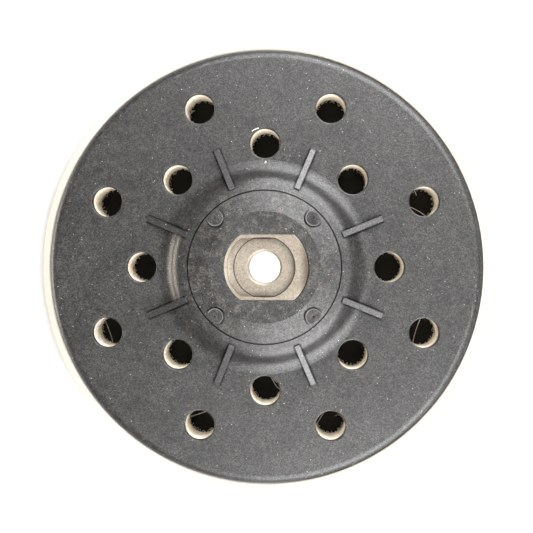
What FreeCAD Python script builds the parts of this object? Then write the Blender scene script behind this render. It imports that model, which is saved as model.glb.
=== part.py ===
import FreeCAD, Part
import os

import Sketcher
from FreeCAD import Placement, Rotation, Vector

# Backing pad of a 125 mm random orbital sander, lying on its hook face with the machine side up.
# Z = 0 is the plane of the hook tips, the Z axis is the fixing-screw axis, and X runs along the
# flats of the drive socket. Every sub-part is bound to the sizes below, in millimetres, except
# for counts and for turns, which are in degrees.
SIZES = (
    # pile and cloth that grip the abrasive disc
    ("pile_height", 1.5, "height of the hook pile"),
    ("pile_radius", 60.7, "outer radius of the pile"),
    ("cloth_thick", 0.7, "hook cloth"),
    ("cloth_radius", 61.0, "outer radius of the cloth and of the adhesive"),
    ("film_thick", 0.4, "adhesive between cloth and foam"),
    ("cloth_opening", 11.0, "radius of the centre opening in pile, cloth and adhesive"),
    # foam
    ("foam_bottom_radius", 61.0, "foam at the cloth"),
    ("foam_top_radius", 57.75, "foam under the plate rim"),
    ("foam_flare_height", 4.5, "height of the straight band above the cloth"),
    ("foam_flare_round", 9.0, "rounding where the band meets the slope"),
    ("foam_opening", 12.0, "radius of the screw-head well in the foam"),
    # moulded plate
    ("plate_top", 16.0, "height of the plate's flat top"),
    ("plate_radius", 57.25, "outer radius of the plate"),
    ("web_thick", 2.0, "thickness of the plate"),
    ("rim_depth", 3.0, "depth of the turned-down rim"),
    ("rim_width", 2.4, "width of the turned-down rim"),
    ("rim_round", 2.4, "rounding over the rim"),
    ("rim_edge_round", 0.4, "rounding at the rim's lower edge"),
    # hub raised on the plate
    ("foot_radius", 26.0, "where the hub wall meets the plate, before rounding"),
    ("foot_round", 5.0, "hollow rounding at the hub's foot"),
    ("shoulder_radius", 22.95, "where the hub wall meets the cone, before rounding"),
    ("shoulder_height", 19.3, "height of that corner"),
    ("shoulder_round", 4.5, "rounding over the shoulder"),
    ("seam_radius", 19.85, "tool seam round the hub"),
    ("seam_width", 0.22, "width of the seam groove"),
    ("seam_inner_height", 20.06, "hub surface just inside the seam"),
    ("seam_outer_height", 19.86, "hub surface just outside the seam"),
    ("seam_floor_height", 19.66, "bottom of the seam groove"),
    ("disc_radius", 14.5, "flat disc on top of the hub"),
    ("hub_top", 21.1, "height of the flat disc"),
    # stiffening ribs over the hub's foot
    ("rib_count", 8, "ribs"),
    ("rib_turn", 22.5, "turn of the first rib from the X axis"),
    ("rib_width", 1.55, "rib width"),
    ("rib_start", 21.9, "inner end of a rib"),
    ("rib_end", 33.2, "outer end of a rib"),
    ("rib_start_height", 20.15, "top of a rib at its inner end"),
    ("rib_end_height", 16.85, "top of a rib at its outer end"),
    ("rib_root", 15.0, "depth to which a rib is merged in the plate"),
    ("rib_edge_round", 0.12, "rounding of a rib's top edges"),
    # gate wells, where the moulding was filled
    ("gate_count", 4, "gate wells"),
    ("gate_turn", 45.0, "turn of the first well"),
    ("gate_circle", 18.05, "radius at which the wells lie"),
    ("gate_radius", 2.89, "radius of a well at the hub's top height"),
    ("gate_taper", 45.0, "draft of a well's wall"),
    ("gate_floor", 20.2, "height of a well's floor"),
    ("gate_plug_radius", 1.3, "disc left standing in a well"),
    ("gate_plug_height", 0.12, "height of the disc above the well's floor"),
    ("gate_pip_radius", 0.3, "gate mark on the disc"),
    ("gate_pip_height", 0.15, "height of the gate mark above the disc"),
    ("gate_root", 0.25, "depth to which a disc is merged in the well's floor"),
    # dust holes
    ("ring_count", 8, "holes in each ring"),
    ("outer_ring", 45.0, "radius of the outer ring of dust holes"),
    ("outer_turn", 22.5, "turn of its first hole"),
    ("inner_ring", 32.5, "radius of the inner ring of dust holes"),
    ("inner_turn", 0.0, "turn of its first hole"),
    ("dust_radius", 3.9, "dust hole in plate and foam"),
    ("dust_edge_round", 0.35, "rounding of a dust hole's upper edge"),
    ("cloth_dust_radius", 4.05, "dust hole in adhesive, cloth and pile"),
    # metal insert
    ("boss_radius", 9.5, "insert's lower end, flush with the plate's underside"),
    ("flange_radius", 15.5, "insert flange inside the moulding"),
    ("flange_bottom", 15.2, "underside of the flange"),
    ("flange_top", 17.4, "top of the flange"),
    ("collar_top", 21.2, "insert's upper face"),
    ("collar_radius", 11.5, "round ends of the insert"),
    ("collar_flats", 17.0, "width across the insert's flats"),
    ("collar_round", 0.25, "rounding over the round ends"),
    ("collar_chamfer", 0.15, "chamfer along the flats"),
    ("shrink_right", 0.2, "gap that opened at the insert's +X end as the moulding cooled"),
    ("shrink_front", 0.09, "gap that opened along its -Y flat"),
    ("shrink_depth", 1.6, "depth of those gaps"),
    ("socket_radius", 7.95, "round ends of the drive socket"),
    ("socket_flats", 15.1, "width across the drive socket's flats"),
    ("socket_depth", 1.8, "depth of the drive socket"),
    ("bore_radius", 4.1, "clearance bore for an M8 screw"),
    ("bore_chamfer", 0.6, "chamfer at both ends of the bore"),
)

doc = FreeCAD.newDocument("SanderPad")
sheet = doc.addObject("Spreadsheet::Sheet", "Sizes")
for row, (alias, size, meaning) in enumerate(SIZES, start=1):
    sheet.set(f"A{row}", meaning)
    sheet.set(f"B{row}", str(size))
    sheet.setAlias(f"B{row}", alias)
doc.recompute()

CLOSE = 0.02  # two lengths nearer than this are the same edge
ORIGIN = (-1, 1)  # the sketcher's name for its origin point
LEVEL, UPRIGHT = -1, -2  # the sketcher's names for its two axes


# ---- sketches ------------------------------------------------------------------------------


def new_body(label):
    """An empty body whose label names its node."""
    body = doc.addObject("PartDesign::Body", "Body")
    body.Label = label
    return body


def flat_sketch(body, height=None, turn=None):
    """A sketch that lies level at a height, turned about the screw axis."""
    return attached_sketch(body, "XY_Plane", Vector(0, 0, 1), height, turn)


def side_sketch(body, turn=None):
    """A sketch that stands upright through the screw axis: its X is radius, its Y is height."""
    return attached_sketch(body, "XZ_Plane", Vector(0, 1, 0), None, turn)


def attached_sketch(body, role, screw_axis, height, turn):
    sketch = body.newObject("Sketcher::SketchObject", "Sketch")
    plane = next(item for item in body.Origin.OriginFeatures if item.Role == role)
    sketch.AttachmentSupport = [(plane, "")]
    sketch.MapMode = "FlatFace"
    if turn:
        sketch.AttachmentOffset = Placement(Vector(), Rotation(screw_axis, 1))
        sketch.setExpression(".AttachmentOffset.Rotation.Angle", turn)
    if height:
        sketch.setExpression(".AttachmentOffset.Base.z", height)
    return sketch


def bind(sketch, name, formula, *constraint):
    """Adds one named dimension and binds it to the sheet."""
    index = sketch.addConstraint(Sketcher.Constraint(*constraint))
    sketch.renameConstraint(index, f"{name}_{index}")
    sketch.setExpression(f"Constraints.{name}_{index}", formula)


def draw_outline(sketch, corners):
    """A closed straight-sided outline. Each corner is a (radius, height) pair of formulas."""
    count = len(corners)
    around = [Rotation(Vector(0, 0, 1), 360 * i / count).multVec(Vector(9, 0, 0)) for i in range(count)]
    start = [place + Vector(20, 20, 0) for place in around]  # the dimensions move it into place
    for i in range(count):
        sketch.addGeometry(Part.LineSegment(start[i], start[(i + 1) % count]))
    for i in range(count):
        sketch.addConstraint(Sketcher.Constraint("Coincident", i, 2, (i + 1) % count, 1))
    for i, (radius, height) in enumerate(corners):
        if radius == "0":
            sketch.addConstraint(Sketcher.Constraint("PointOnObject", i, 1, UPRIGHT))
        else:
            bind(sketch, "radius", radius, "DistanceX", *ORIGIN, i, 1, 20.0)
        bind(sketch, "height", height, "DistanceY", *ORIGIN, i, 1, 20.0)


def draw_circle(sketch, radius, along="0"):
    """A circle whose centre is the origin or lies along the sketch's X axis."""
    circle = sketch.addGeometry(Part.Circle(Vector(20, 0, 0), Vector(0, 0, 1), 3))
    if along == "0":
        sketch.addConstraint(Sketcher.Constraint("Coincident", circle, 3, *ORIGIN))
    else:
        sketch.addConstraint(Sketcher.Constraint("PointOnObject", circle, 3, LEVEL))
        bind(sketch, "along", along, "DistanceX", *ORIGIN, circle, 3, 20.0)
    bind(sketch, "radius", radius, "Radius", circle, 3.0)


def draw_double_d(sketch, radius, flats):
    """A circle with two flats parallel to X, as two lines joined by two arcs."""
    half, reach = 8.0, 6.0
    corner = {(x, y): Vector(x * reach, y * half, 0) for x in (-1, 1) for y in (-1, 1)}
    size = corner[1, 1].Length
    top = sketch.addGeometry(Part.LineSegment(corner[-1, 1], corner[1, 1]))
    right = sketch.addGeometry(Part.Arc(corner[1, 1], Vector(size, 0, 0), corner[1, -1]))
    bottom = sketch.addGeometry(Part.LineSegment(corner[1, -1], corner[-1, -1]))
    left = sketch.addGeometry(Part.Arc(corner[-1, -1], Vector(-size, 0, 0), corner[-1, 1]))
    # an arc's ends are numbered anticlockwise
    for pair in ((top, 2, right, 2), (right, 1, bottom, 1), (bottom, 2, left, 2), (left, 1, top, 1)):
        sketch.addConstraint(Sketcher.Constraint("Coincident", *pair))
    for arc in (right, left):
        sketch.addConstraint(Sketcher.Constraint("Coincident", arc, 3, *ORIGIN))
    for line in (top, bottom):
        sketch.addConstraint(Sketcher.Constraint("Horizontal", line))
    bind(sketch, "radius", radius, "Radius", right, size)
    bind(sketch, "above", f"{flats} / 2", "DistanceY", *ORIGIN, top, 1, half)
    bind(sketch, "below", f"{flats} / 2", "DistanceY", bottom, 1, *ORIGIN, half)


# ---- features ------------------------------------------------------------------------------


def feature(body, kind, sketch=None, **formulas):
    """Adds a feature, binds its properties to the sheet and makes it the body's tip."""
    made = body.newObject(f"PartDesign::{kind}", kind)
    if sketch:
        made.Profile = (sketch, [""])
    for name, formula in formulas.items():
        made.setExpression(name, formula)
    body.Tip = made
    return made


def revolve(body, sketch):
    made = feature(body, "Revolution", sketch)
    made.ReferenceAxis = (sketch, ["V_Axis"])
    made.Angle = 360
    doc.recompute()
    return made


def pad(body, sketch, length):
    made = feature(body, "Pad", sketch, Length=length)
    doc.recompute()
    return made


def cut(body, sketch, depth=None, taper=None):
    """A pocket that goes down from its sketch, right through when it has no depth."""
    before = body.Shape.Volume
    made = feature(body, "Pocket", sketch, **({"Length": depth} if depth else {}))
    if not depth:
        made.Type = "ThroughAll"
    if taper:
        made.setExpression("TaperAngle", taper)
    doc.recompute()
    if not body.Shape.Volume < before:
        raise RuntimeError(f"a pocket in {body.Label} cuts nothing")
    return made


def repeat(body, original, count):
    """Repeats a feature evenly round the screw axis."""
    made = feature(body, "PolarPattern", Occurrences=count)
    made.Originals = [original]
    axis = next(item for item in body.Origin.OriginFeatures if item.Role == "Z_Axis")
    made.Axis = (axis, [""])
    made.Angle = 360
    body.Tip = made
    doc.recompute()
    return made


def dress(body, kind, wanted, **formulas):
    """Rounds or chamfers the edges that a test picks."""
    tip = body.Tip
    names = [f"Edge{i}" for i, edge in enumerate(tip.Shape.Edges, start=1) if wanted(edge)]
    if not names:
        raise RuntimeError(f"no edge to dress in {body.Label}")
    made = feature(body, kind, **formulas)
    made.Base = (tip, names)
    doc.recompute()
    return made


def circle_at(radius, height):
    """A test for edges that are circles of a radius about the screw axis or any hole, at a height."""

    def wanted(edge):
        if not isinstance(edge.Curve, Part.Circle):
            return False
        return abs(edge.Curve.Radius - radius) < CLOSE and abs(edge.Curve.Center.z - height) < CLOSE

    return wanted


def dust_holes(body, height, radius):
    """The two rings of dust holes, cut down from a height through the whole piece."""
    for ring, turn in (("Sizes.outer_ring", "Sizes.outer_turn"), ("Sizes.inner_ring", "Sizes.inner_turn")):
        sketch = flat_sketch(body, height, turn)
        draw_circle(sketch, radius, ring)
        hole = cut(body, sketch)
        repeat(body, hole, "Sizes.ring_count")


# ---- sub-parts -----------------------------------------------------------------------------

FILM_BOTTOM = "(Sizes.pile_height + Sizes.cloth_thick)"
FOAM_BOTTOM = "(Sizes.pile_height + Sizes.cloth_thick + Sizes.film_thick)"
WEB_BOTTOM = "(Sizes.plate_top - Sizes.web_thick)"
RIM_BOTTOM = "(Sizes.plate_top - Sizes.rim_depth)"
RIM_INNER = "(Sizes.plate_radius - Sizes.rim_width)"


def make_layer(label, bottom, thick, outer_radius):
    """One of the thin layers under the foam: a disc with the centre opening and the dust holes."""
    body = new_body(label)
    top = f"{bottom} + {thick}"
    profile = side_sketch(body)
    draw_outline(
        profile,
        [
            ("Sizes.cloth_opening", bottom),
            (outer_radius, bottom),
            (outer_radius, top),
            ("Sizes.cloth_opening", top),
        ],
    )
    revolve(body, profile)
    dust_holes(body, top, "Sizes.cloth_dust_radius")
    return body


def make_foam():
    """Foam that flares from the plate's rim out to the cloth, with a step for the turned-down rim."""
    body = new_body("foam_pad")
    profile = side_sketch(body)
    draw_outline(
        profile,
        [
            ("Sizes.foam_opening", FOAM_BOTTOM),
            ("Sizes.foam_bottom_radius", FOAM_BOTTOM),
            ("Sizes.foam_bottom_radius", f"{FOAM_BOTTOM} + Sizes.foam_flare_height"),
            ("Sizes.foam_top_radius", RIM_BOTTOM),
            (RIM_INNER, RIM_BOTTOM),
            (RIM_INNER, WEB_BOTTOM),
            ("Sizes.foam_opening", WEB_BOTTOM),
        ],
    )
    revolve(body, profile)
    foam_bottom = sheet.pile_height + sheet.cloth_thick + sheet.film_thick
    bend = circle_at(sheet.foam_bottom_radius, foam_bottom + sheet.foam_flare_height)
    dress(body, "Fillet", bend, Radius="Sizes.foam_flare_round")
    dust_holes(body, WEB_BOTTOM, "Sizes.dust_radius")
    return body


def make_plate():
    """The moulded plate: rim, hub, seat for the insert, ribs, gate wells and dust holes."""
    body = new_body("backing_plate")
    profile = side_sketch(body)
    draw_outline(
        profile,
        [
            ("Sizes.boss_radius", WEB_BOTTOM),
            (RIM_INNER, WEB_BOTTOM),
            (RIM_INNER, RIM_BOTTOM),
            ("Sizes.plate_radius", RIM_BOTTOM),
            ("Sizes.plate_radius", "Sizes.plate_top"),
            ("Sizes.foot_radius", "Sizes.plate_top"),
            ("Sizes.shoulder_radius", "Sizes.shoulder_height"),
            ("Sizes.seam_radius + Sizes.seam_width", "Sizes.seam_outer_height"),
            ("Sizes.seam_radius + Sizes.seam_width / 2", "Sizes.seam_floor_height"),
            ("Sizes.seam_radius", "Sizes.seam_inner_height"),
            ("Sizes.disc_radius", "Sizes.hub_top"),
            ("0", "Sizes.hub_top"),
            ("0", "Sizes.flange_top"),
            ("Sizes.flange_radius", "Sizes.flange_top"),
            ("Sizes.flange_radius", "Sizes.flange_bottom"),
            ("Sizes.boss_radius", "Sizes.flange_bottom"),
        ],
    )
    revolve(body, profile)
    foot = circle_at(sheet.foot_radius, sheet.plate_top)
    dress(body, "Fillet", foot, Radius="Sizes.foot_round")
    shoulder = circle_at(sheet.shoulder_radius, sheet.shoulder_height)
    dress(body, "Fillet", shoulder, Radius="Sizes.shoulder_round")
    rim = circle_at(sheet.plate_radius, sheet.plate_top)
    dress(body, "Fillet", rim, Radius="Sizes.rim_round")
    lip = circle_at(sheet.plate_radius, sheet.plate_top - sheet.rim_depth)
    dress(body, "Fillet", lip, Radius="Sizes.rim_edge_round")

    seat = flat_sketch(body, "Sizes.hub_top")
    draw_double_d(seat, "Sizes.collar_radius", "Sizes.collar_flats")
    cut(body, seat, "Sizes.hub_top - Sizes.flange_top")
    gap = flat_sketch(body, "Sizes.hub_top")
    gap.setExpression(".AttachmentOffset.Base.x", "Sizes.shrink_right")
    gap.setExpression(".AttachmentOffset.Base.y", "Sizes.shrink_front * -1")
    draw_double_d(gap, "Sizes.collar_radius", "Sizes.collar_flats")
    cut(body, gap, "Sizes.shrink_depth")
    dust_holes(body, "Sizes.plate_top", "Sizes.dust_radius")
    upper_edges = circle_at(sheet.dust_radius, sheet.plate_top)
    dress(body, "Fillet", upper_edges, Radius="Sizes.dust_edge_round")

    add_gate_wells(body)
    add_ribs(body)
    return body


def add_gate_wells(body):
    """Shallow wells with sloping walls, each round a low disc that carries the mark of its gate."""
    outline = flat_sketch(body, "Sizes.hub_top", "Sizes.gate_turn")
    draw_circle(outline, "Sizes.gate_radius", "Sizes.gate_circle")
    well = cut(body, outline, "Sizes.hub_top - Sizes.gate_floor", taper="Sizes.gate_taper * -1")
    repeat(body, well, "Sizes.gate_count")
    for radius, height in (
        ("Sizes.gate_plug_radius", "Sizes.gate_plug_height"),
        ("Sizes.gate_pip_radius", "Sizes.gate_plug_height + Sizes.gate_pip_height"),
    ):
        mark = flat_sketch(body, "Sizes.gate_floor - Sizes.gate_root", "Sizes.gate_turn")
        draw_circle(mark, radius, "Sizes.gate_circle")
        disc = pad(body, mark, f"Sizes.gate_root + {height}")
        repeat(body, disc, "Sizes.gate_count")


def add_ribs(body):
    """Straight ribs that run down over the hub's foot on to the plate."""
    outline = side_sketch(body, "Sizes.rib_turn")
    draw_outline(
        outline,
        [
            ("Sizes.rib_start", "Sizes.rib_root"),
            ("Sizes.rib_end", "Sizes.rib_root"),
            ("Sizes.rib_end", "Sizes.rib_end_height"),
            ("Sizes.rib_start", "Sizes.rib_start_height"),
        ],
    )
    rib = feature(body, "Pad", outline, Length="Sizes.rib_width")
    rib.Midplane = True
    doc.recompute()
    repeat(body, rib, "Sizes.rib_count")
    rise = sheet.rib_end_height - sheet.rib_start_height
    slope = rise / (sheet.rib_end - sheet.rib_start)

    def on_rib_top(edge):
        for vertex in edge.Vertexes:
            radius = (vertex.X**2 + vertex.Y**2) ** 0.5
            if radius < sheet.rib_start - CLOSE or radius > sheet.rib_end + 4 * CLOSE:
                return False
            top = sheet.rib_start_height + slope * (radius - sheet.rib_start)
            if abs(vertex.Z - top) > 2 * CLOSE:
                return False
        return True

    dress(body, "Fillet", on_rib_top, Radius="Sizes.rib_edge_round")


def make_insert():
    """The metal insert: a flange held in the moulding, a collar with flats, socket and bore."""
    body = new_body("hub_insert")
    profile = side_sketch(body)
    draw_outline(
        profile,
        [
            ("0", WEB_BOTTOM),
            ("Sizes.boss_radius", WEB_BOTTOM),
            ("Sizes.boss_radius", "Sizes.flange_bottom"),
            ("Sizes.flange_radius", "Sizes.flange_bottom"),
            ("Sizes.flange_radius", "Sizes.flange_top"),
            ("Sizes.collar_radius", "Sizes.flange_top"),
            ("Sizes.collar_radius", "Sizes.collar_top"),
            ("0", "Sizes.collar_top"),
        ],
    )
    revolve(body, profile)
    collar_edge = circle_at(sheet.collar_radius, sheet.collar_top)
    dress(body, "Fillet", collar_edge, Radius="Sizes.collar_round")

    sides = flat_sketch(body, "Sizes.collar_top")
    draw_circle(sides, "Sizes.flange_radius + 1")
    draw_double_d(sides, "Sizes.collar_radius + 1", "Sizes.collar_flats")
    cut(body, sides, "Sizes.collar_top - Sizes.flange_top")

    def along_flats(edge):
        middle = edge.CenterOfMass
        at_flat = abs(abs(middle.y) - sheet.collar_flats / 2) < CLOSE
        return at_flat and abs(middle.z - sheet.collar_top) < CLOSE

    dress(body, "Chamfer", along_flats, Size="Sizes.collar_chamfer")
    socket = flat_sketch(body, "Sizes.collar_top")
    draw_double_d(socket, "Sizes.socket_radius", "Sizes.socket_flats")
    cut(body, socket, "Sizes.socket_depth")
    bore = flat_sketch(body, "Sizes.collar_top")
    draw_circle(bore, "Sizes.bore_radius")
    cut(body, bore)

    def bore_ends(edge):
        return isinstance(edge.Curve, Part.Circle) and abs(edge.Curve.Radius - sheet.bore_radius) < CLOSE

    dress(body, "Chamfer", bore_ends, Size="Sizes.bore_chamfer")
    return body


pieces = [
    make_plate(),
    make_insert(),
    make_foam(),
    make_layer("adhesive_film", FILM_BOTTOM, "Sizes.film_thick", "Sizes.cloth_radius"),
    make_layer("hook_cloth", "Sizes.pile_height", "Sizes.cloth_thick", "Sizes.cloth_radius"),
    make_layer("hook_pile", "0 * Sizes.pile_height", "Sizes.pile_height", "Sizes.pile_radius"),
]
doc.recompute()

for item in doc.Objects:
    if "Invalid" in item.State or "Error" in item.State:
        raise RuntimeError(f"{item.Name} failed: {item.State}")
for piece in pieces:
    if piece.Shape.isNull() or not piece.Shape.isValid():
        raise RuntimeError(f"{piece.Label} has no valid shape")

os.makedirs("parts", exist_ok=True)
for piece in pieces:
    piece.Shape.exportStep(f"parts/{piece.Label}.step")
    box = piece.Shape.BoundBox
    volume = piece.Shape.Volume
    print(f"{piece.Label}: {volume:.0f} mm3, z {box.ZMin:.2f} to {box.ZMax:.2f}")
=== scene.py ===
import math

import bmesh
import bpy
import numpy as np
from mathutils import Matrix, Vector, geometry, noise


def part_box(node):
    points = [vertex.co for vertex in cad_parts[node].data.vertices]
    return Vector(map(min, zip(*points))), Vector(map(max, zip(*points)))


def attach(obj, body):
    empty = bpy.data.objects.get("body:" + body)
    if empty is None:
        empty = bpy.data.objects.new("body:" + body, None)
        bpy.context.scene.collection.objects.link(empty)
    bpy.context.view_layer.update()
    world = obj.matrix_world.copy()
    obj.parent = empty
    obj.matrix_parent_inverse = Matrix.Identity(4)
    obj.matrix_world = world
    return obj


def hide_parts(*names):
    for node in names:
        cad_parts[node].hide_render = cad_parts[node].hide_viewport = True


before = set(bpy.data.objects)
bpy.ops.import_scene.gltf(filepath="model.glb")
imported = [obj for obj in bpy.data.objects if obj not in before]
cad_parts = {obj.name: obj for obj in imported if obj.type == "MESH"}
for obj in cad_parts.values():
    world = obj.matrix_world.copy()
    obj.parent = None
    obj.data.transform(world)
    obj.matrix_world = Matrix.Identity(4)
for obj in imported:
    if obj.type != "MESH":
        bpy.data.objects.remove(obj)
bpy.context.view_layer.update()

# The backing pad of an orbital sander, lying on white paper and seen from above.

MM = 0.001
TURN = 2 * math.pi

# ---- sizes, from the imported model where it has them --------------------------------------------

FOAM_LOW, FOAM_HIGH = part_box("foam_pad")
CLOTH_LOW, CLOTH_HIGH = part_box("hook_cloth")
PILE_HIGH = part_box("hook_pile")[1]
FILM_LOW, FILM_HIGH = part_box("adhesive_film")

PLATE_TOP = 16.0 * MM
FOAM_DUST_RADIUS = 3.9 * MM
CLOTH_DUST_RADIUS = 4.05 * MM
CLOTH_OPENING = 11.0 * MM
RINGS = ((45.0 * MM, 22.5), (32.5 * MM, 0.0))  # radius of each ring of dust holes, turn in degrees
HOLES_IN_RING = 8

# places on the plate and on the metal insert where their materials paint shade and highlights
BORE_EDGE = 4.45 * MM  # middle of the chamfer round the bore
SOCKET_RADIUS = 7.95 * MM
SOCKET_FLATS = 15.1 * MM
SEAM_RADIUS = 19.96 * MM
GATE_OFFSET = 18.05 * MM * math.cos(math.radians(45))  # of each gate well from both axes
GATE_RADIUS = 2.0 * MM
RIB_TURN = TURN / 16  # of the first rib from the X axis, which is half the turn between two
RIB_INNER, RIB_OUTER = 21.9 * MM, 33.2 * MM
RIB_HALF = 0.775 * MM

# the foam's outline, from the cloth up to the plate's rim
FOAM_OPENING = 12.0 * MM
FOAM_BEND_HEIGHT = 7.1 * MM
FOAM_BEND_ROUND = 9.0 * MM
FOAM_TOP_RADIUS = 57.75 * MM
RIM_INNER = 54.85 * MM
RIM_LOW = 13.0 * MM


def dust_centres():
    """The centre of every dust hole, outer ring first, anticlockwise."""
    for radius, turn in RINGS:
        for k in range(HOLES_IN_RING):
            angle = math.radians(turn) + TURN * k / HOLES_IN_RING
            yield radius * math.cos(angle), radius * math.sin(angle)


DUST = np.array(list(dust_centres()))


# ---- camera, light and floor ------------------------------------------------------------------

CAMERA_PLACE = Vector((11.6 * MM, 2.4 * MM, 312.0 * MM))
CAMERA_AIM = Vector((0.42 * MM, 0.18 * MM, PLATE_TOP))
VIEW_ANGLE = math.radians(26.53)


def aim(obj, place, target):
    """Puts a camera or light at a place, facing a target, with the frame's Y upwards in its view."""
    back = (Vector(place) - Vector(target)).normalized()
    right = Vector((0, 1, 0)).cross(back).normalized()
    turn = Matrix((right, back.cross(right), back)).transposed()
    obj.matrix_world = Matrix.Translation(place) @ turn.to_4x4()


def add_camera():
    data = bpy.data.cameras.new("camera")
    data.angle = VIEW_ANGLE
    data.clip_start = 0.01
    camera = bpy.data.objects.new("camera", data)
    bpy.context.scene.collection.objects.link(camera)
    aim(camera, CAMERA_PLACE, CAMERA_AIM)
    bpy.context.scene.camera = camera


def add_light(name, place, target, size, watts, colour=(1, 1, 1)):
    data = bpy.data.lights.new(name, "AREA")
    data.shape = "RECTANGLE"
    data.size, data.size_y = size
    data.energy = watts
    data.color = colour
    light = bpy.data.objects.new(name, data)
    bpy.context.scene.collection.objects.link(light)
    aim(light, place, target)


def add_lights():
    """Two soft boxes above and below the view, both to the right, and a low strip on the left."""
    aside, out, up = 0.235, 0.42, 0.45  # metres
    for name, side in (("top_box", 1), ("bottom_box", -1)):
        add_light(name, (aside, side * out, up), (aside, 0, 0), (0.60, 0.64), 12.2)
    add_light("left_strip", (-0.45, 0.0, 0.03), (0, 0, 0.012), (0.12, 0.30), 2.0, (1.0, 0.90, 0.78))


AMBIENT = 0.06  # the backdrop's strength as a light
BACKDROP = 0.62  # the pale tone in which it is seen behind the floor


def add_backdrop():
    """A wall all round, faint as a light and pale where it is seen."""
    world = bpy.data.worlds.new("studio")
    world.use_nodes = True
    tree = world.node_tree
    background = tree.nodes["Background"]
    background.inputs["Color"].default_value = (1, 1, 1, 1)
    seen = tree.nodes.new("ShaderNodeLightPath").outputs["Is Camera Ray"]
    strength = tree.nodes.new("ShaderNodeMapRange")
    strength.inputs["To Min"].default_value = AMBIENT
    strength.inputs["To Max"].default_value = BACKDROP
    tree.links.new(seen, strength.inputs["Value"])
    tree.links.new(strength.outputs["Result"], background.inputs["Strength"])
    bpy.context.scene.world = world
    bpy.context.scene.view_settings.view_transform = "Standard"


# ---- material kit -------------------------------------------------------------------------------


class Recipe:
    """A material made of nodes, with short calls for the nodes that are used often."""

    def __init__(self, name):
        self.material = bpy.data.materials.new(name)
        self.material.use_nodes = True
        self.tree = self.material.node_tree
        self.shader = self.tree.nodes["Principled BSDF"]
        self.place = self.node("ShaderNodeTexCoord").outputs["Object"]

    def node(self, kind, inputs=None, **properties):
        made = self.tree.nodes.new(kind)
        for name, value in properties.items():
            setattr(made, name, value)
        for name, value in (inputs or {}).items():
            self.put(made.inputs[name], value)
        return made

    def put(self, socket, value):
        if isinstance(value, bpy.types.NodeSocket):
            self.tree.links.new(value, socket)
        else:
            socket.default_value = value

    def set(self, **values):
        for name, value in values.items():
            self.put(self.shader.inputs[name.replace("_", " ")], value)

    def noise(self, size, detail=2.0, roughness=0.5):
        """Noise with features of a size in metres."""
        inputs = {"Vector": self.place, "Scale": 1 / size, "Detail": detail, "Roughness": roughness}
        return self.node("ShaderNodeTexNoise", inputs).outputs["Fac"]

    def voronoi(self, size, output):
        return self.node("ShaderNodeTexVoronoi", {"Vector": self.place, "Scale": 1 / size}).outputs[output]

    def cells(self, size):
        """Distance from the middle of each cell of a size in metres, as a share of that size."""
        return self.voronoi(size, "Distance")

    def speckle(self, size):
        """A random value for each small cell."""
        return self.node("ShaderNodeSeparateColor", {"Color": self.voronoi(size, "Color")}).outputs["Red"]

    def math(self, operation, *values):
        made = self.node("ShaderNodeMath", operation=operation)
        for socket, value in zip(made.inputs, values):
            self.put(socket, value)
        return made.outputs[0]

    def times(self, value, *others):
        """The product of several values."""
        for other in others:
            value = self.math("MULTIPLY", value, other)
        return value

    def range(self, value, low, high, to_low=0.0, to_high=1.0):
        """Goes smoothly from one value to another while value goes from low to high."""
        inputs = {"Value": value, "From Min": low, "From Max": high, "To Min": to_low, "To Max": to_high}
        return self.node("ShaderNodeMapRange", inputs, interpolation_type="SMOOTHSTEP").outputs["Result"]

    def line(self, value, at, inner, outer, strength=1.0):
        """A soft-edged line where value is at a level: full to the inner half-width, gone at the outer."""
        return self.range(self.math("ABSOLUTE", self.math("SUBTRACT", value, at)), inner, outer, strength, 0)

    def mix(self, share, first, second, blend="MIX"):
        made = self.node("ShaderNodeMix", data_type="RGBA", blend_type=blend)
        self.put(made.inputs["Factor"], share)
        self.put(made.inputs[6], first)
        self.put(made.inputs[7], second)
        return made.outputs[2]

    def bump(self, height, depth, strength=1.0, under=None):
        """A bump of a depth in metres, over another bump if one is given."""
        inputs = {"Height": height, "Distance": depth, "Strength": strength}
        if under:
            inputs["Normal"] = under
        return self.node("ShaderNodeBump", inputs).outputs["Normal"]

    def weave(self, pitch):
        """The height of a plain weave of a yarn pitch in metres, from -1 to 1."""
        turns = [self.times(self.along(axis), math.pi / pitch) for axis in "XY"]
        return self.times(*[self.math("SINE", turn) for turn in turns])

    def radius(self):
        """Distance from the screw axis."""
        flat = self.node("ShaderNodeVectorMath", {0: self.place, 1: (1, 1, 0)}, operation="MULTIPLY")
        return self.node("ShaderNodeVectorMath", {0: flat.outputs[0]}, operation="LENGTH").outputs["Value"]

    def along(self, axis):
        """The place along one axis of the frame."""
        return self.node("ShaderNodeSeparateXYZ", {"Vector": self.place}).outputs[axis]


def grey(level, warm=0.0):
    """A grey of a linear level, a little towards yellow when warm."""
    return (level * (1 + warm), level, level * (1 - warm), 1)


# ---- materials ----------------------------------------------------------------------------------


def gate_shade_and_highlight(m):
    """The plate's painted shade and painted highlight at the gate wells.

    A well has painted shade on the wall that faces outwards, is dark at the gate itself, and has a
    painted highlight along the foot of that wall."""
    offset = [m.math("SUBTRACT", m.math("ABSOLUTE", m.along(axis)), GATE_OFFSET) for axis in "XY"]
    from_gate = m.math("SQRT", m.math("ADD", *[m.times(part, part) for part in offset]))
    inward = m.range(m.math("ADD", *offset), -0.2 * MM, 1.6 * MM, 1, 0)
    # painted shade on the well's outward-facing wall
    wall = m.times(m.line(from_gate, GATE_RADIUS + 0.33 * MM, 0.12 * MM, 0.40 * MM, 0.9), inward)
    # painted highlight along the foot of that wall
    foot = m.times(m.line(from_gate, GATE_RADIUS, 0.04 * MM, 0.18 * MM, 0.75), inward)
    gate = m.range(from_gate, 0.15 * MM, 0.40 * MM, 0.8, 0)
    return m.math("MAXIMUM", wall, gate), foot


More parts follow.
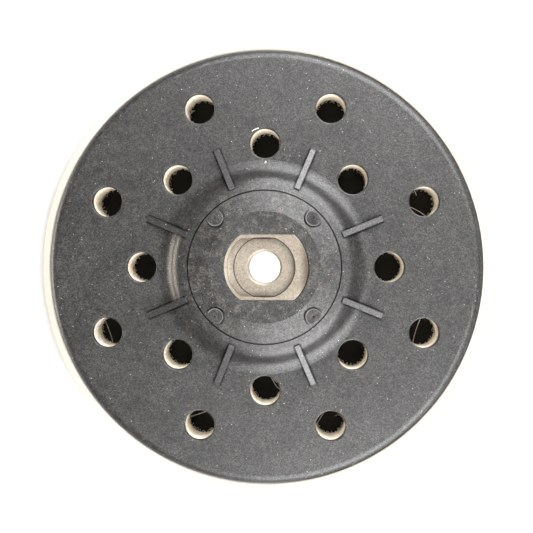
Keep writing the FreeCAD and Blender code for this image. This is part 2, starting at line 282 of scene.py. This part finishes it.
def rib_shade_and_highlight(m):
    """Where the plate has painted shade along the foot of each rib, and where a rib's top has a painted
    highlight.
    """
    turn = m.math("ARCTAN2", m.along("Y"), m.along("X"))
    from_rib = m.math("PINGPONG", m.math("ADD", turn, RIB_TURN + TURN), RIB_TURN)
    radius = m.radius()
    aside = m.times(radius, m.math("SINE", from_rib))
    begun = m.range(radius, RIB_INNER - 0.5 * MM, RIB_INNER + 0.3 * MM)
    not_ended = m.range(radius, RIB_OUTER - 0.1 * MM, RIB_OUTER + 0.6 * MM, 1, 0)
    # painted shade along each side of a rib's foot
    foot = m.line(aside, RIB_HALF + 0.205 * MM, 0.10 * MM, 0.42 * MM, 0.62)
    # a rib's top, where the sheen is raised as a painted highlight
    top = m.range(aside, 0.50 * MM, 0.75 * MM, 1, 0)
    return m.times(foot, begun, not_ended), m.times(top, begun, not_ended)


def plate_nylon():
    """Glass-filled nylon: near black with a broad sheen, sandy grain, pale specks, a dusty hub, and painted
    shade and highlights at the seam, gate wells, ribs and rim.
    """
    m = Recipe("glass_filled_nylon")
    grain = m.noise(0.70 * MM, 3.0, 0.75)
    clouds = m.noise(9 * MM, 4.0, 0.6)
    patches = m.noise(2.0 * MM, 3.0, 0.6)
    fine = m.speckle(0.23 * MM)
    body = m.mix(m.range(clouds, 0.35, 0.65), grey(0.013, 0.02), grey(0.020, 0.03))
    body = m.mix(m.range(patches, 0.35, 0.75, 0, 0.35), body, grey(0.026, 0.03))
    body = m.mix(m.range(grain, 0.45, 0.75, 0, 0.2), body, grey(0.060, 0.03))
    hub = m.range(m.radius(), 19 * MM, 23 * MM, 1, 0.25)
    dust = m.times(hub, m.range(m.noise(2.4 * MM, 6.0, 0.72), 0.44, 0.70), 0.38)
    body = m.mix(dust, body, (0.110, 0.098, 0.087, 1))
    specks = m.range(m.cells(0.75 * MM), 0.06, 0.17, 1, 0)
    chosen = m.range(m.noise(1.3 * MM, 1.0), 0.58, 0.63)
    body = m.mix(m.times(specks, chosen, 0.7), body, grey(0.5, 0.02))
    body = m.mix(1.0, body, m.mix(fine, grey(0.35), grey(1.85)), "MULTIPLY")

    # painted shade in the seam's groove
    seam = m.line(m.radius(), SEAM_RADIUS, 0.12 * MM, 0.30 * MM, 0.8)
    gate_shade_and_dot, gate_highlight = gate_shade_and_highlight(m)
    rib_foot_shade, rib_top_highlight = rib_shade_and_highlight(m)
    # dark is painted shade at the seam, on the gate wells' walls and along the rib feet, and includes the
    # dark dot at each gate
    dark = m.math("MAXIMUM", m.math("MAXIMUM", seam, gate_shade_and_dot), rib_foot_shade)
    body = m.mix(dark, body, grey(0.004))
    # painted highlight along the foot of each gate well's wall
    body = m.mix(gate_highlight, body, grey(0.16, 0.02))
    # painted shade: the rim's rounding has less sheen and is rougher at the +X side
    edge = m.times(m.range(m.radius(), 55.9 * MM, 56.9 * MM), m.range(m.along("X"), 0, 20 * MM))
    # less sheen in the painted shade, more on the rib tops as a painted highlight
    sheen = m.times(m.range(dark, 0, 0.8, 0.5, 0.25), m.range(fine, 0, 1, 0.84, 1.16))
    sheen = m.times(sheen, m.range(rib_top_highlight, 0, 1, 1, 1.35), m.range(edge, 0, 1, 1, 0.35))
    rough = m.math("MULTIPLY_ADD", edge, 0.4, m.range(patches, 0.25, 0.8, 0.34, 0.42))

    normal = m.bump(clouds, 0.06 * MM)
    normal = m.bump(patches, 0.012 * MM, 1.0, normal)
    normal = m.bump(grain, 0.012 * MM, 1.0, normal)
    m.set(Base_Color=body, Roughness=rough, Normal=normal, Specular_IOR_Level=sheen, IOR=1.52)
    return m.material


def sintered_metal():
    """Pressed and sintered metal powder: warm beige, satin, with fine pits.

    It has painted shade where the socket's wall meets a face, painted highlights at the bore's chamfer
    and at the -X end, and painted shade at the +X end."""
    m = Recipe("sintered_metal")
    grain = m.noise(0.60 * MM, 3.0, 0.8)
    cloud = m.noise(3.0 * MM, 3.0, 0.6)
    colour = m.mix(m.range(cloud, 0.3, 0.7), (0.225, 0.194, 0.153, 1), (0.275, 0.240, 0.193, 1))
    colour = m.mix(m.range(grain, 0.28, 0.50, 0.6, 0), colour, (0.16, 0.13, 0.10, 1))

    # painted shade where the socket's wall meets a face, widest along the flats
    from_arcs = m.math("SUBTRACT", m.radius(), SOCKET_RADIUS)
    from_flats = m.math("SUBTRACT", m.math("ABSOLUTE", m.along("Y")), SOCKET_FLATS / 2)
    all_round = m.line(m.math("MAXIMUM", from_arcs, from_flats), 0, 0.07 * MM, 0.20 * MM, 0.9)
    inside_arcs = m.range(from_arcs, -0.3 * MM, 0.1 * MM, 0.95, 0)
    at_flats = m.times(m.line(from_flats, 0, 0.10 * MM, 0.30 * MM), inside_arcs)
    colour = m.mix(m.math("MAXIMUM", at_flats, all_round), colour, (0.030, 0.023, 0.017, 1))

    # painted highlight at the -X end
    lit_end_highlight = m.range(m.along("X"), -9.9 * MM, -8.0 * MM, 0.8, 0)
    colour = m.mix(lit_end_highlight, colour, (0.37, 0.325, 0.262, 1))
    # painted highlight on the bore's chamfer
    chamfer = m.line(m.radius(), BORE_EDGE, 0.12 * MM, 0.42 * MM, 0.65)
    colour = m.mix(chamfer, colour, (0.62, 0.56, 0.47, 1))
    # painted shade at the +X end
    shaded_end = m.range(m.along("X"), 8.6 * MM, 11.4 * MM, 0, 0.9)
    colour = m.mix(shaded_end, colour, (0.060, 0.043, 0.028, 1))
    colour = m.mix(1.0, colour, m.mix(m.speckle(0.27 * MM), grey(0.80), grey(1.14)), "MULTIPLY")
    rough = m.range(grain, 0.3, 0.7, 0.60, 0.44)
    m.set(Base_Color=colour, Metallic=0.75, Roughness=rough, Normal=m.bump(grain, 0.018 * MM))
    return m.material


def cream_foam():
    """Cast microcellular foam: cream and matt with tiny pores.

    Its outer skin is a darker tone, with painted shade towards the +X side and a painted highlight
    towards the -X side, and low down its side wall is darker still, with open pores."""
    m = Recipe("cream_foam")
    pores = m.cells(0.32 * MM)
    cloud = m.noise(4 * MM, 3.0, 0.5)
    colour = m.mix(m.range(cloud, 0.3, 0.7), (0.84, 0.77, 0.66, 1), (0.90, 0.84, 0.74, 1))
    colour = m.mix(m.range(pores, 0.0, 0.22, 0.4, 0), colour, (0.55, 0.46, 0.35, 1))

    skin = m.range(m.radius(), 55.5 * MM, 57 * MM)
    x = m.along("X")
    # the skin's own darker tone, with painted shade towards +X and a painted highlight towards -X
    skin_tone_and_shade = m.mix(m.range(x, 0, 50 * MM), (0.345, 0.318, 0.278, 1), (0.295, 0.268, 0.230, 1))
    skin_tone_and_shade = m.mix(m.range(x, -45 * MM, 0), (0.53, 0.50, 0.45, 1), skin_tone_and_shade)
    colour = m.mix(m.times(skin, 0.85), colour, skin_tone_and_shade)
    wall = m.times(skin, m.range(m.along("Z"), 5.0 * MM, 9.0 * MM, 1, 0))
    wall_tone = m.mix(cloud, (0.20, 0.178, 0.140, 1), (0.29, 0.262, 0.215, 1))
    colour = m.mix(m.times(wall, 0.9), colour, wall_tone)
    open_pores = m.times(wall, m.range(m.cells(0.75 * MM), 0.10, 0.24, 0.75, 0))
    colour = m.mix(open_pores, colour, (0.10, 0.08, 0.055, 1))

    normal = m.bump(pores, 0.08 * MM, 0.5)
    normal = m.bump(m.noise(1.2 * MM, 3.0), 0.12 * MM, 0.4, normal)
    m.set(Base_Color=colour, Normal=normal, Roughness=0.85)
    m.set(Subsurface_Weight=0.25, Subsurface_Radius=(1.0, 0.75, 0.5), Subsurface_Scale=0.8 * MM)
    return m.material


def adhesive():
    """A thin amber line of contact adhesive, uneven and a little shiny."""
    m = Recipe("contact_adhesive")
    lumps = m.noise(0.8 * MM, 3.0)
    colour = m.mix(m.range(lumps, 0.3, 0.7), (0.46, 0.32, 0.14, 1), (0.66, 0.52, 0.28, 1))
    m.set(Base_Color=colour, Normal=m.bump(lumps, 0.1 * MM, 0.6), Roughness=0.38)
    return m.material


def nylon_thread(name, pale, deep, woven=False):
    """Natural nylon yarn: off-white, slightly glossy, with a little variation from thread to thread."""
    m = Recipe(name)
    tone = m.noise(0.7 * MM, 2.0)
    colour = m.mix(m.range(tone, 0.3, 0.7), deep, pale)
    if woven:
        cloth = m.weave(0.42 * MM)
        # painted shade in the weave's hollows
        colour = m.mix(m.range(cloth, -0.9, 0.1, 0.6, 0), colour, (0.24, 0.20, 0.15, 1))
        m.set(Normal=m.bump(cloth, 0.07 * MM))
    m.set(Base_Color=colour, Roughness=m.range(tone, 0.3, 0.7, 0.36, 0.5))
    return m.material


def floor_paper():
    """White paper. Out of sight under the pad it is dark in a ring below the dust holes.

    It glows under the bore as painted light, and faintly far away, where it runs into the pale backdrop."""
    m = Recipe("floor_paper")
    radius = m.radius()
    paper = m.mix(m.range(m.noise(0.6 * MM, 4.0, 0.6), 0.3, 0.7), grey(0.60), grey(0.64))
    past_bore = m.range(radius, 12.4 * MM, 13.0 * MM)
    under_pad = m.range(radius, 55.5 * MM, 56.5 * MM, 1, 0)
    m.set(Base_Color=m.mix(m.times(past_bore, under_pad), paper, grey(0.009, 0.05)), Roughness=0.9)
    # painted light: the floor glows under the bore
    painted_bore_light = m.range(radius, 12.0 * MM, 12.4 * MM, 1, 0)
    far = m.range(radius, 0.7, 2.2, 0, 0.6)
    glow = m.math("MULTIPLY_ADD", painted_bore_light, 1.3, far)
    m.set(Emission_Color=(1, 1, 1, 1), Emission_Strength=glow)
    return m.material


# ---- mesh kit -----------------------------------------------------------------------------------


def add_piece(name, mesh, material):
    """Makes a mesh a piece of the object, riding on its one body."""
    mesh.materials.append(material)
    piece = bpy.data.objects.new(name, mesh)
    bpy.context.scene.collection.objects.link(piece)
    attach(piece, "root")
    return piece


def wall_quads(rows, count):
    """The faces between loops of equal count whose points follow each other."""
    k = np.arange(rows - 1)[:, None] * count
    j = np.arange(count)[None, :]
    following = (j + 1) % count
    return np.stack([k + j, k + following, k + count + following, k + count + j], axis=-1).reshape(-1, 4)


def add_threads(name, paths, radius, sides, material):
    """Makes a piece of round nylon filaments, which belongs to the hook pile."""
    vertices, faces = tubes(paths, radius, sides)
    mesh = bpy.data.meshes.new(name)
    mesh.from_pydata([tuple(v) for v in vertices], [], [tuple(f) for f in faces])
    mesh.shade_smooth()
    return add_piece(name, mesh, material)


def tubes(paths, radius, sides):
    """Round filaments that follow paths, an array of (filament, point, xyz), with closed ends."""
    count, points, _ = paths.shape
    along = np.gradient(paths, axis=1)
    along /= np.linalg.norm(along, axis=2, keepdims=True)
    chord = paths[:, -1] - paths[:, 0]
    nudge = np.array([0.013, 0.029, 0.011]) * MM  # so that a straight filament has a side too
    upright = np.cross(along[:, 0], chord + nudge)
    upright /= np.linalg.norm(upright, axis=1, keepdims=True)
    side = np.cross(upright[:, None, :], along)
    side /= np.linalg.norm(side, axis=2, keepdims=True)
    other = np.cross(along, side)
    turn = TURN * np.arange(sides) / sides
    ring = np.cos(turn)[None, None, :, None] * side[:, :, None, :]
    ring = ring + np.sin(turn)[None, None, :, None] * other[:, :, None, :]
    vertices = paths[:, :, None, :] + radius * ring
    base = np.arange(count) * points * sides
    walls = (wall_quads(points, sides)[None] + base[:, None, None]).reshape(-1, 4)
    start = base[:, None] + np.arange(sides)[None, ::-1]
    end = base[:, None] + (points - 1) * sides + np.arange(sides)[None, :]
    return vertices.reshape(-1, 3), walls.tolist() + start.tolist() + end.tolist()


def clear_of_holes(x, y, margin):
    """Which points lie at least a margin outside every dust hole of the cloth."""
    gaps = np.hypot(x[:, None] - DUST[None, :, 0], y[:, None] - DUST[None, :, 1])
    return (gaps > CLOTH_DUST_RADIUS + margin).all(axis=1)


def circle(radius, height, count, centre=(0.0, 0.0)):
    """Points evenly round a level circle."""
    turn = TURN * np.arange(count) / count
    x = centre[0] + radius * np.cos(turn)
    y = centre[1] + radius * np.sin(turn)
    return np.stack([x, y, np.full(count, height)], axis=1)


def rounded_corner(before, corner, after, radius, steps):
    """The rounding of a corner in a (radius, height) outline, as points from one run to the next."""
    before, corner, after = (np.array(p) for p in (before, corner, after))
    first = (before - corner) / np.linalg.norm(before - corner)
    last = (after - corner) / np.linalg.norm(after - corner)
    half = math.acos(np.clip(first @ last, -1, 1)) / 2
    middle = (first + last) / np.linalg.norm(first + last)
    centre = corner + middle * radius / math.sin(half)
    start = corner + first * radius / math.tan(half) - centre
    end = corner + last * radius / math.tan(half) - centre
    spread = math.pi - 2 * half
    share = np.linspace(0, 1, steps)[:, None]
    return centre + (np.sin((1 - share) * spread) * start + np.sin(share * spread) * end) / math.sin(spread)


OUTER_POINTS, OPENING_POINTS, HOLE_POINTS = 720, 180, 72  # on a loop of each kind


class Shell:
    """A closed skin made of patches that meet: level faces full of holes, and walls between loops."""

    def __init__(self, opening, hole):
        self.opening, self.hole = opening, hole
        self.vertices, self.faces = [], []

    def add(self, vertices, faces):
        base = len(self.vertices)
        self.vertices.extend(map(tuple, vertices))
        self.faces.extend(tuple(base + int(i) for i in face) for face in faces)

    def level(self, outer, height, spacing=None):
        """A level face out to a radius, with the centre opening and the dust holes left out.

        A spacing, if one is given, is that of further points inside it."""
        loops = [circle(outer, height, OUTER_POINTS), circle(self.opening, height, OPENING_POINTS)]
        loops += [circle(self.hole, height, HOLE_POINTS, centre) for centre in DUST]
        edges, base = [], 0
        for loop in loops:
            edges += [(base + i, base + (i + 1) % len(loop)) for i in range(len(loop))]
            base += len(loop)
        points = np.concatenate(loops)
        if spacing:
            line = np.arange(-outer, outer, spacing)
            x, y = (grid.ravel() for grid in np.meshgrid(line, line))
            radius, gap = np.hypot(x, y), 0.6 * spacing
            kept = (radius < outer - gap) & (radius > self.opening + gap) & clear_of_holes(x, y, gap)
            inside = np.stack([x[kept], y[kept], np.full(kept.sum(), height)], axis=1)
            points = np.concatenate([points, inside])
        flat = [Vector(p) for p in points[:, :2] / MM]
        # the triangles fill the openings too, so those whose middle lies in one are left out
        faces = np.array(geometry.delaunay_2d_cdt(flat, edges, [], 0, 1e-6)[2])
        middle = points[faces][:, :, :2].mean(axis=1)
        kept = np.hypot(*middle.T) > self.opening * math.cos(math.pi / OPENING_POINTS)
        gaps = np.hypot(middle[:, :1] - DUST[None, :, 0], middle[:, 1:] - DUST[None, :, 1])
        kept &= (gaps > self.hole * math.cos(math.pi / HOLE_POINTS)).all(axis=1)
        self.add(points, faces[kept])

    def loft(self, loops):
        """A wall through loops of equal count."""
        self.add(np.concatenate(loops), wall_quads(len(loops), len(loops[0])))

    def side(self, outline):
        """The outer wall, turned from a (radius, height) outline."""
        self.loft([circle(radius, height, OUTER_POINTS) for radius, height in outline])

    def inner_walls(self, low, high, steps):
        """The walls of the centre opening and of the dust holes."""
        heights = np.linspace(low, high, steps)
        self.loft([circle(self.opening, height, OPENING_POINTS) for height in heights])
        for centre in DUST:
            self.loft([circle(self.hole, height, HOLE_POINTS, centre) for height in heights])

    def piece(self, name, material, slot):
        """Joins the patches where they meet and makes them a piece."""
        mesh = bpy.data.meshes.new(name)
        mesh.from_pydata(self.vertices, [], self.faces)
        joined = bmesh.new()
        joined.from_mesh(mesh)
        bmesh.ops.remove_doubles(joined, verts=joined.verts, dist=0.001 * MM)
        bmesh.ops.recalc_face_normals(joined, faces=joined.faces)
        joined.to_mesh(mesh)
        joined.free()
        mesh.shade_smooth()
        mesh.set_sharp_from_angle(angle=math.radians(50))
        return add_piece(name, mesh, material)


def roughen(piece, low, high, slow, quick, inward):
    """Lets the walls of a piece wander between two heights, in slow and quick waves.

    inward is how far they are set back on the whole. Near the two heights nothing moves."""
    mesh = piece.data
    fade = 0.5 * MM
    normals = [vertex.normal.copy() for vertex in mesh.vertices]
    for vertex, normal in zip(mesh.vertices, normals):
        place = vertex.co
        from_end = min(place.z - low, high - place.z)
        share = min(max(from_end / fade, 0.0), 1.0)
        wave = slow * noise.noise(place / (7 * MM))
        wave += quick * noise.noise(place / (1.3 * MM) + Vector((5, 3, 8)))
        vertex.co = place + normal * (share * (wave - inward))


# ---- pieces -------------------------------------------------------------------------------------


def make_foam(material):
    """The foam body: a skin that flares out to the cloth, with cut walls in every hole."""
    low, high = FOAM_LOW.z, FOAM_HIGH.z
    outer = FOAM_HIGH.x
    corner = (outer, FOAM_BEND_HEIGHT)
    top = (FOAM_TOP_RADIUS, RIM_LOW)
    rounding = rounded_corner((outer, low), corner, top, FOAM_BEND_ROUND, 12)
    straight = np.linspace((outer, low), rounding[0], 6)[:-1]
    slope = np.linspace(rounding[-1], top, 10)[1:]
    shell = Shell(FOAM_OPENING, FOAM_DUST_RADIUS)
    shell.level(outer, low)
    shell.side(np.concatenate([straight, rounding, slope]))
    shell.side([top, (RIM_INNER, RIM_LOW), (RIM_INNER, high)])
    shell.level(RIM_INNER, high)
    shell.inner_walls(low, high, 26)
    foam = shell.piece("foam_body", material, "cream_foam")
    roughen(foam, low, high, 0.08 * MM, 0.07 * MM, 0.06 * MM)
    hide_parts("foam_pad")


def thin_layer(name, low, high, material, slot, spacing=None):
    """A level layer with the cloth's openings, between the corners of its box."""
    radius = high.x
    shell = Shell(CLOTH_OPENING, CLOTH_DUST_RADIUS)
    shell.level(radius, low.z, spacing)
    shell.side([(radius, low.z), (radius, (low.z + high.z) / 2), (radius, high.z)])
    shell.level(radius, high.z, spacing)
    shell.inner_walls(low.z, high.z, 3)
    return shell.piece(name, material, slot)


def waver(piece, radius, depth, mean, size):
    """Lets a layer's outer edge wander inwards in waves of a size.

    It lies depth times mean inwards on the whole, give or take up to the depth."""
    for vertex in piece.data.vertices:
        place = vertex.co
        flat = Vector((place.x, place.y, 0))
        if flat.length > radius - 0.1 * MM:
            vertex.co = place - flat.normalized() * (depth * (mean + noise.noise(place / size)))


def make_glue(material):
    """The line of adhesive between foam and cloth, its edge not quite even."""
    glue = thin_layer("glue_line", FILM_LOW, FILM_HIGH, material, "adhesive")
    waver(glue, FILM_HIGH.x, 0.16 * MM, 0.6, 2.4 * MM)
    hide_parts("adhesive_film")


def make_cloth(material):
    """The woven hook cloth, cut through with the centre opening and the dust holes."""
    radius = CLOTH_HIGH.x
    cloth = thin_layer("hook_cloth_sheet", CLOTH_LOW, CLOTH_HIGH, material, "hook_cloth", 1.3 * MM)
    waver(cloth, radius, 0.09 * MM, 0.5, 1.1 * MM)
    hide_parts("hook_cloth")


HOOK_ROW_PITCH = 1.30 * MM
HOOK_PITCH = 1.05 * MM
HOOK_RADIUS = 0.095 * MM
HOOK_MARGIN = 0.8 * MM  # from the pile's outline to the outermost feet
# a hook's line before it varies, as how far along the row and how far down from the cloth, in mm
HOOK_ALONG = (0, 0, 0.03, 0.17, 0.38, 0.55, 0.60)
HOOK_DOWN = (-0.10, 0.55, 1.0, 1.30, 1.38, 1.22, 0.98)


def make_hooks(material):
    """Rows of bent nylon hooks under the cloth, in four quarters."""
    random = np.random.default_rng(41)
    reach = PILE_HIGH.x - HOOK_MARGIN
    rows = np.arange(-reach, reach, HOOK_ROW_PITCH)
    steps = np.arange(-reach, reach, HOOK_PITCH)
    x, y = (grid.ravel() for grid in np.meshgrid(steps, rows))
    turned = np.round((y + reach) / HOOK_ROW_PITCH) % 2 == 1  # every other row faces the other way
    x = x + random.normal(0, 0.13 * MM, x.shape)
    y = y + random.normal(0, 0.09 * MM, y.shape)
    radius = np.hypot(x, y)
    kept = (radius < reach) & (radius > CLOTH_OPENING + 0.7 * MM) & clear_of_holes(x, y, 0.35 * MM)
    x, y, turned = x[kept], y[kept], turned[kept]
    lean = random.normal(0, 0.35, x.shape) + np.where(turned, math.pi, 0)
    tall = random.uniform(0.88, 1.0, x.shape)
    open_up = random.uniform(0.75, 1.25, x.shape)
    across = np.array(HOOK_ALONG) * MM * open_up[:, None]
    down = np.array(HOOK_DOWN) * MM * tall[:, None]
    path_x = x[:, None] + across * np.cos(lean)[:, None]
    path_y = y[:, None] + across * np.sin(lean)[:, None]
    paths = np.stack([path_x, path_y, PILE_HIGH.z - down], axis=2)
    quarter = (x > 0).astype(int) + 2 * (y > 0).astype(int)
    for k in range(4):
        piece = add_threads(f"hooks_{k + 1}", paths[quarter == k], HOOK_RADIUS, 4, material)
        if k == 0:
            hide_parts("hook_pile")


FRINGE_COUNT = 46  # cut hooks round each dust hole
FRINGE_RADIUS = 0.085 * MM
LOOSE_RADIUS = 0.10 * MM
# loose filaments: the dust hole that each is at, and the control points of its curve, in mm from
# that hole's axis and from the floor
LOOSE = (
    (0, ((-1.5, 4.3, 1.7), (-1.3, 3.9, 1.3), (-0.9, 3.1, 0.9), (-0.6, 2.3, 0.5))),
    (0, ((-4.2, -0.4, 1.6), (-2.1, -0.7, 1.0), (0.8, -2.2, 0.8), (2.2, -3.8, 1.6))),
    (2, ((-3.9, -0.6, 4.2), (-3.7, 0.2, 4.0), (-3.2, 0.8, 3.6), (-2.5, 1.2, 3.0))),
    (4, ((-3.2, 2.5, 1.7), (-2.4, 0.4, 1.3), (-1.5, -2.0, 1.0), (-0.9, -4.2, 1.6))),
    (5, ((-3.9, 0.2, 1.6), (-2.4, 0.7, 1.2), (-0.9, 1.2, 1.2), (1.6, 2.1, 1.6))),
    (5, ((1.6, -3.0, 0.8), (1.9, -3.3, 1.1), (2.3, -3.5, 1.4), (2.7, -3.9, 1.7))),
    (6, ((-0.9, 2.6, 1.6), (-1.8, 1.2, 1.1), (-2.7, -0.2, 1.1), (-3.5, -1.6, 1.7))),
    (6, ((1.4, 0.5, 0.5), (2.4, 1.1, 0.8), (3.1, 0.9, 1.0), (4.2, -0.6, 1.6))),
    (7, ((0.9, 4.2, 1.7), (-0.2, 1.6, 1.0), (-1.1, -0.8, 0.9), (-1.7, -3.8, 1.6))),
    (14, ((0.9, 2.4, 1.6), (1.9, 1.2, 1.0), (2.0, -0.4, 0.8), (3.8, -1.3, 1.5))),
    (14, ((1.2, 2.6, 1.6), (2.2, 0.9, 0.8), (2.9, 0.2, 0.8), (4.1, 0.4, 1.6))),
    (10, ((-3.4, 3.1, 16.07), (-2.8, 3.6, 16.10), (-2.2, 3.8, 16.10), (-1.6, 3.95, 16.07))),
    (10, ((0.1, -4.7, 16.06), (0.5, -4.9, 16.16), (0.3, -5.3, 16.20), (-0.1, -5.1, 16.07))),
)


def make_fringe(material):
    """Hooks cut through by the dust holes: short bent ends and loops round the lower edge of each."""
    random = np.random.default_rng(7)
    paths = []
    for centre in DUST:
        for k in range(FRINGE_COUNT):
            turn = TURN * (k + random.uniform(-0.45, 0.45)) / FRINGE_COUNT
            spread = random.uniform(0.05, 0.26) * random.choice((-1, 1))
            reach = 0.14 + 0.56 * random.random() ** 1.8
            foot, tip = random.uniform(1.5, 2.1), random.uniform(0.1, 1.2)
            share = np.linspace(0, 1, 7)
            bow = np.sin(math.pi * share * random.uniform(0.55, 1.0))
            radius = CLOTH_DUST_RADIUS + 0.08 * MM - reach * MM * bow
            around = turn + spread * share
            x = centre[0] + radius * np.cos(around)
            y = centre[1] + radius * np.sin(around)
            height = (foot + (tip - foot) * share) * MM
            paths.append(np.stack([x, y, height], axis=1))
    add_threads("cut_hooks", np.array(paths), FRINGE_RADIUS, 5, material)


def make_loose_filaments(material):
    """Long filaments that came away where the holes were cut, and two that lie on the plate."""
    share = np.linspace(0, 1, 24)[:, None]
    paths = []
    for hole, points in LOOSE:
        first, second, third, last = (np.array(p) * MM for p in points)
        curve = (1 - share) ** 3 * first + 3 * (1 - share) ** 2 * share * second
        curve = curve + 3 * (1 - share) * share**2 * third + share**3 * last
        paths.append(curve + np.array([*DUST[hole], 0.0]))
    add_threads("loose_filaments", np.array(paths), LOOSE_RADIUS, 7, material)


def make_floor():
    """A level floor of pale paper, so wide that its edge is far off in every view."""
    half = 3.0  # metres
    floor = bpy.data.meshes.new("floor")
    corners = [(-half, -half, 0), (half, -half, 0), (half, half, 0), (-half, half, 0)]
    floor.from_pydata(corners, [], [(0, 1, 2, 3)])
    floor.materials.append(floor_paper())
    piece = bpy.data.objects.new("floor", floor)
    bpy.context.scene.collection.objects.link(piece)


def repaint(node, material):
    """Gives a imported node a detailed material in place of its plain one."""
    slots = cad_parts[node].data.materials
    for index in range(len(slots)):
        slots[index] = material


add_camera()
add_lights()
add_backdrop()
make_floor()
repaint("backing_plate", plate_nylon())
repaint("hub_insert", sintered_metal())
yarn = nylon_thread("cloth_yarn", (0.62, 0.57, 0.49, 1), (0.50, 0.44, 0.35, 1), woven=True)
filament = nylon_thread("hook_filament", (0.80, 0.77, 0.70, 1), (0.62, 0.57, 0.48, 1))
make_foam(cream_foam())
make_glue(adhesive())
make_cloth(yarn)
make_hooks(filament)
make_fringe(filament)
make_loose_filaments(filament)
